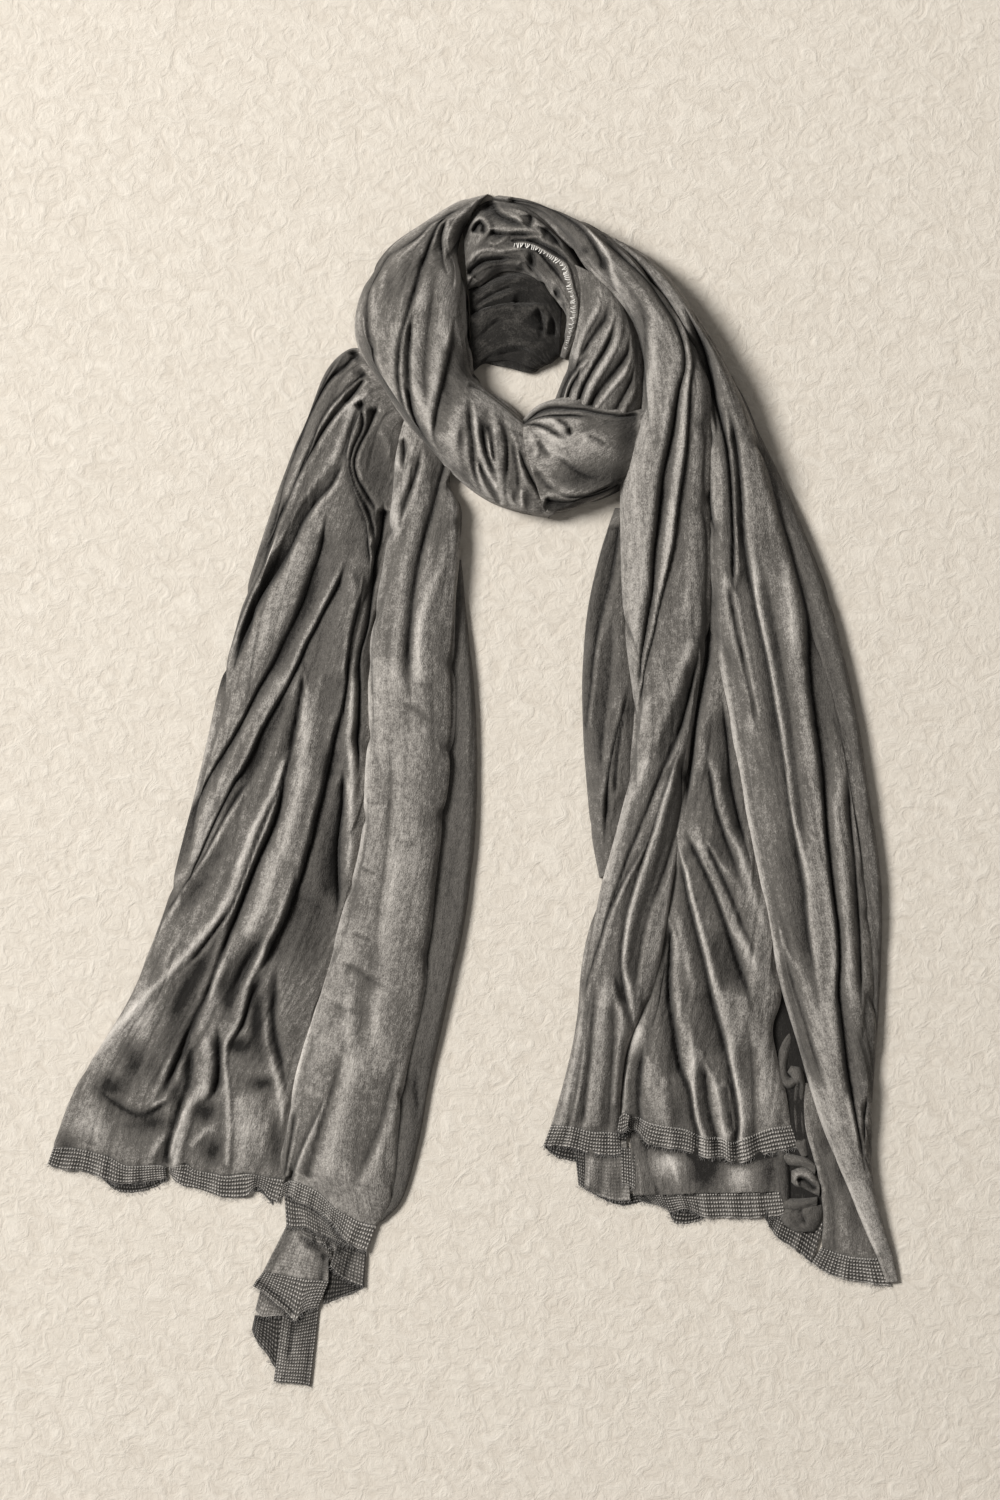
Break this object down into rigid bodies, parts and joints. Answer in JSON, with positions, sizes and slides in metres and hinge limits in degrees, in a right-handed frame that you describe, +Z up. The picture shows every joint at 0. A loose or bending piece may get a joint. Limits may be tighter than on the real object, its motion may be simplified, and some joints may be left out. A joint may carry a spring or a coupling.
{
  "type": "long scarf, wound once into a neck ring and laid flat",
  "caption": "Long soft-washed cotton scarf laid flat, wound once into a neck ring with both pleated tails hanging below it.",
  "frame": {"origin": "middle of the footprint, on the surface that the scarf lies on", "axes": "+Y from the tails' ends towards the neck ring, +X to the right seen from above, +Z up from the surface"},
  "size_m": [0.721, 1.012, 0.0586],
  "materials": {
    "cloth": "stone-washed loose cotton weave, matt with a soft nap",
    "woven_end": "open woven end band with a frayed raw edge, matt",
    "edge_thread": "pale overlock thread"
  },
  "bodies": {
    "root": {"wrap_front": "cloth", "wrap_bottom": "cloth", "wrap_strands": "cloth", "wrap_collar": "cloth", "wrap_back": "cloth", "tail_left_outer": "cloth", "tail_left_panel": "cloth", "tail_left_back": "cloth", "tail_right_centre": "cloth", "tail_right_middle": "cloth", "tail_right_outer": "cloth", "tail_right_back": "cloth", "tail_right_under": "cloth", "tail_right_flap": "cloth", "tail_right_ruffle": "cloth", "hem_left_outer": "woven_end", "hem_left_inner": "woven_end", "hem_left_panel": "woven_end", "hem_left_second": "woven_end", "hem_left_corner": "woven_end", "hem_left_lower": "cloth", "hem_left_lowest": "woven_end", "hem_right_left": "woven_end", "hem_right_top": "woven_end", "hem_right_under": "woven_end", "hem_right_lower": "woven_end", "hem_right_corner": "woven_end"}
  },
  "joints": []
}
